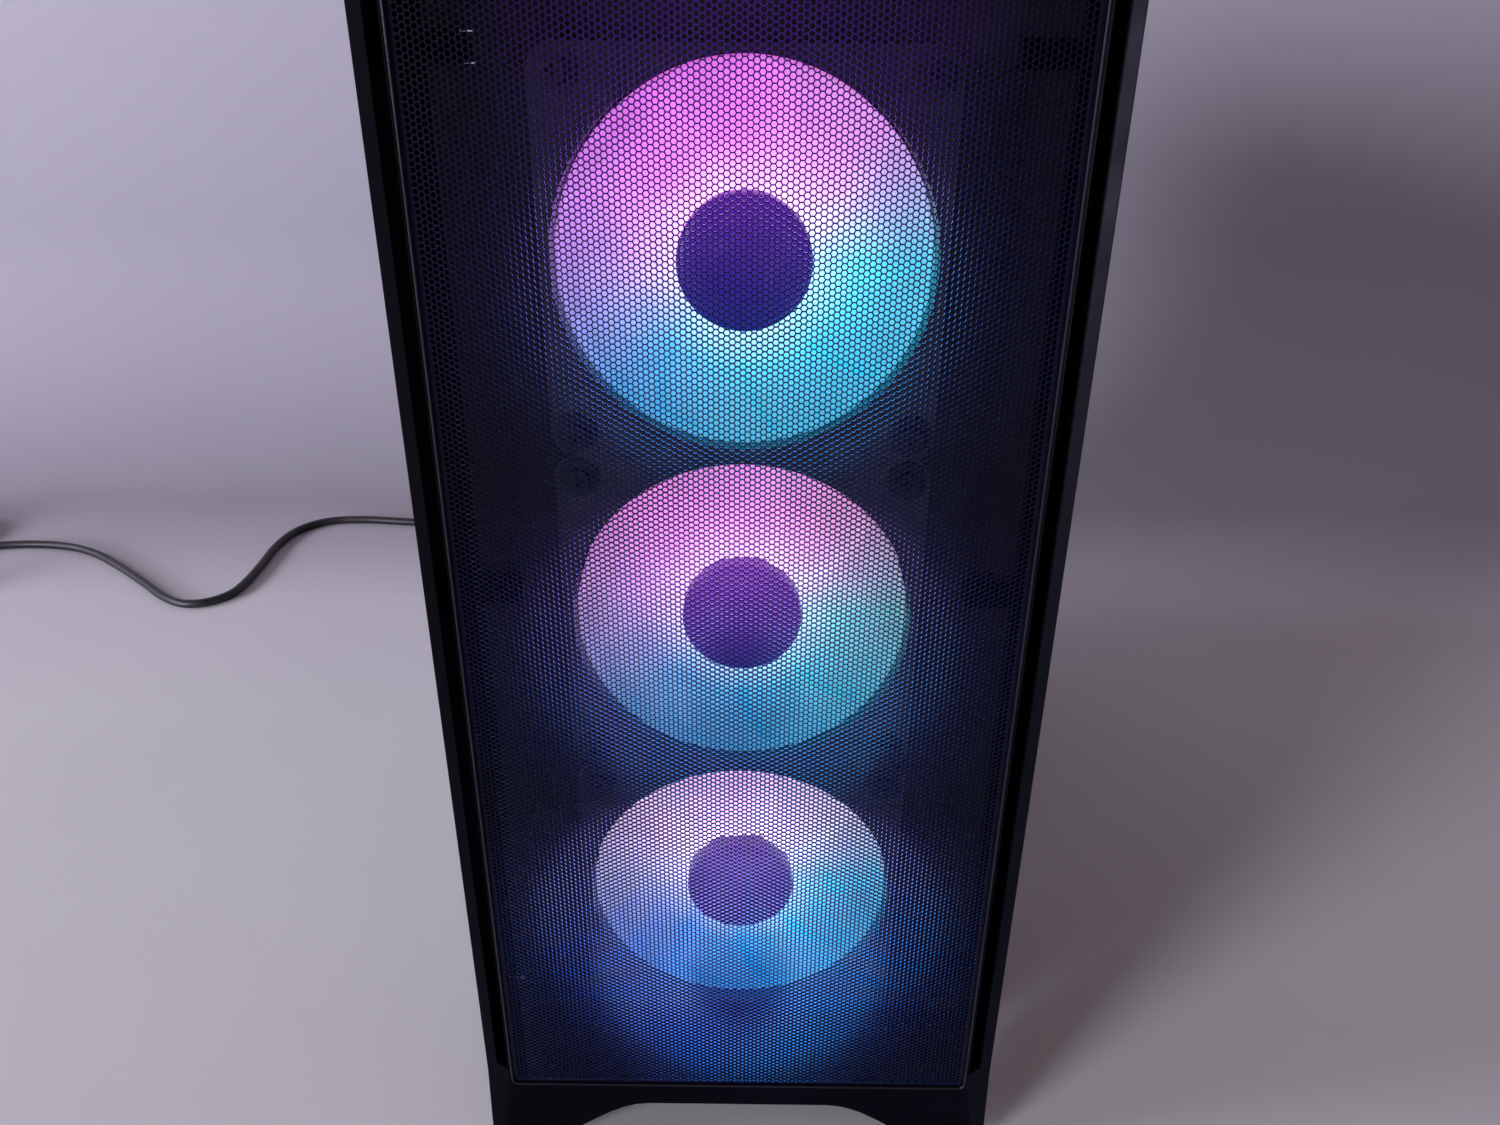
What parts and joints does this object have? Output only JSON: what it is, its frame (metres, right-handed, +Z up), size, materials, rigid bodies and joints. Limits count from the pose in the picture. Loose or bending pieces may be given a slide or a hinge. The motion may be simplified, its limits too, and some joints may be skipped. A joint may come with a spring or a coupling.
{
  "type": "liquid-cooled computer tower",
  "caption": "Black computer tower with a perforated front, lit fans behind it and a liquid cooling radiator, pump, board, power supply and mains lead inside and behind.",
  "frame": {"origin": "centre of the footprint on the surface that the foot pads stand on", "axes": "+Z up, -Y out of the perforated front, +X towards the steel side panel"},
  "size_m": [0.8643, 0.6262, 0.46],
  "materials": {
    "black_steel": "satin powder coat",
    "panel_plastic": "fine-grained moulded plastic",
    "mesh_sheet": "satin, perforated",
    "lit_blades": "milky translucent plastic, lit from the hub",
    "fan_plastic": "satin",
    "rubber_black": "matt",
    "shaft_steel": "ground",
    "bearing_bronze": "sintered",
    "winding_copper": "enamelled wire",
    "light_board": "white solder mask",
    "dark_screws": "black oxide",
    "radiator_metal": "black paint over fins",
    "nickel": "satin plated",
    "hose_rubber": "braided sleeve",
    "pump_plastic": "polished",
    "impeller_plastic": "moulded",
    "cold_copper": "lapped",
    "circuit_board": "solder mask",
    "memory_metal": "anodised",
    "shield_steel": "stamped",
    "usb_blue": "moulded",
    "button_plastic": "satin",
    "smoked_glass": "tempered, tinted",
    "filter_plastic": "fine mesh on a frame",
    "inlet_plastic": "moulded",
    "lead_jacket": "soft extruded jacket"
  },
  "bodies": {
    "chassis": {"chassis_bottom": "black_steel", "chassis_front": "black_steel", "chassis_rear": "black_steel", "chassis_top": "black_steel", "motherboard_tray": "black_steel", "psu_shroud": "black_steel", "slot_covers": "black_steel", "connector_shield": "shield_steel", "drive_cage": "black_steel", "feet": "panel_plastic", "foot_pads": "rubber_black", "top_strip": "panel_plastic", "strip_board": "circuit_board", "usb_sockets": "usb_blue", "fan_frame_1": "fan_plastic", "fan_frame_2": "fan_plastic", "fan_frame_3": "fan_plastic", "fan_stators": "winding_copper", "fan_bearings": "bearing_bronze", "fan_light_boards": "light_board", "fan_pads": "rubber_black", "fan_screws": "dark_screws", "radiator_core": "radiator_metal", "radiator_tank_top": "radiator_metal", "radiator_tank_bottom": "radiator_metal", "radiator_rails": "radiator_metal", "hose_fittings": "nickel", "coolant_hoses": "hose_rubber", "pump_housing": "pump_plastic", "pump_cold_plate": "cold_copper", "pump_cap": "pump_plastic", "pump_bracket": "nickel", "motherboard": "circuit_board", "memory_modules": "memory_metal", "psu_housing": "black_steel", "psu_inlet": "inlet_plastic", "lead_connector": "lead_jacket", "lead_tube": "lead_jacket", "lead_coil": "lead_jacket", "lead_tail": "lead_jacket", "lead_plug": "lead_jacket"},
    "front_panel": {"front_panel_frame": "panel_plastic", "front_mesh": "mesh_sheet"},
    "glass_side": {"glass_panel": "smoked_glass", "glass_thumbscrews": "dark_screws"},
    "steel_side": {"steel_panel": "black_steel", "rear_thumbscrews": "dark_screws"},
    "top_dust_filter": {"top_filter": "filter_plastic"},
    "lower_dust_filter": {"psu_filter": "filter_plastic"},
    "power_key": {"power_button": "button_plastic"},
    "reset_key": {"reset_button": "button_plastic"},
    "rotor_1": {"fan_rotor_1": "lit_blades", "fan_shaft_1": "shaft_steel"},
    "rotor_2": {"fan_rotor_2": "lit_blades", "fan_shaft_2": "shaft_steel"},
    "rotor_3": {"fan_rotor_3": "lit_blades", "fan_shaft_3": "shaft_steel"},
    "impeller": {"pump_impeller": "impeller_plastic"},
    "psu_rotor": {"psu_fan_rotor": "fan_plastic"},
    "mains_rocker": {"psu_switch": "inlet_plastic"}
  },
  "joints": [
    {"name": "front_panel_pull", "type": "slide", "parent": "chassis", "child": "front_panel", "axis": [0, -1, 0], "range_m": [0, 0.03]},
    {"name": "glass_panel_off", "type": "slide", "parent": "chassis", "child": "glass_side", "axis": [-1, 0, 0], "range_m": [0, 0.04]},
    {"name": "steel_panel_back", "type": "slide", "parent": "chassis", "child": "steel_side", "axis": [0, 1, 0], "range_m": [0, 0.013]},
    {"name": "top_filter_lift", "type": "slide", "parent": "chassis", "child": "top_dust_filter", "axis": [0, 0, 1], "range_m": [0, 0.05]},
    {"name": "lower_filter_pull", "type": "slide", "parent": "chassis", "child": "lower_dust_filter", "axis": [0, 1, 0], "range_m": [0, 0.14]},
    {"name": "power_press", "type": "slide", "parent": "chassis", "child": "power_key", "axis": [0, 0, -1], "range_m": [0, 0.0015], "stiffness_N_per_m": 600, "springref_m": -0.001},
    {"name": "reset_press", "type": "slide", "parent": "chassis", "child": "reset_key", "axis": [0, 0, -1], "range_m": [0, 0.0012], "stiffness_N_per_m": 500, "springref_m": -0.001},
    {"name": "fan_1_spin", "type": "hinge", "parent": "chassis", "child": "rotor_1", "pos_m": [0, -0.18, 0.121], "axis": [0, -1, 0], "continuous": true},
    {"name": "fan_2_spin", "type": "hinge", "parent": "chassis", "child": "rotor_2", "pos_m": [0, -0.18, 0.241], "axis": [0, -1, 0], "continuous": true},
    {"name": "fan_3_spin", "type": "hinge", "parent": "chassis", "child": "rotor_3", "pos_m": [0, -0.18, 0.361], "axis": [0, -1, 0], "continuous": true},
    {"name": "pump_spin", "type": "hinge", "parent": "chassis", "child": "impeller", "pos_m": [0.05, 0.105, 0.35], "axis": [1, 0, 0], "continuous": true},
    {"name": "psu_fan_spin", "type": "hinge", "parent": "chassis", "child": "psu_rotor", "pos_m": [0, 0.135, 0.04], "axis": [0, 0, 1], "continuous": true},
    {"name": "mains_rocker_tip", "type": "hinge", "parent": "chassis", "child": "mains_rocker", "pos_m": [-0.01, 0.201, 0.09], "axis": [1, 0, 0], "range_deg": [0, 16]}
  ]
}
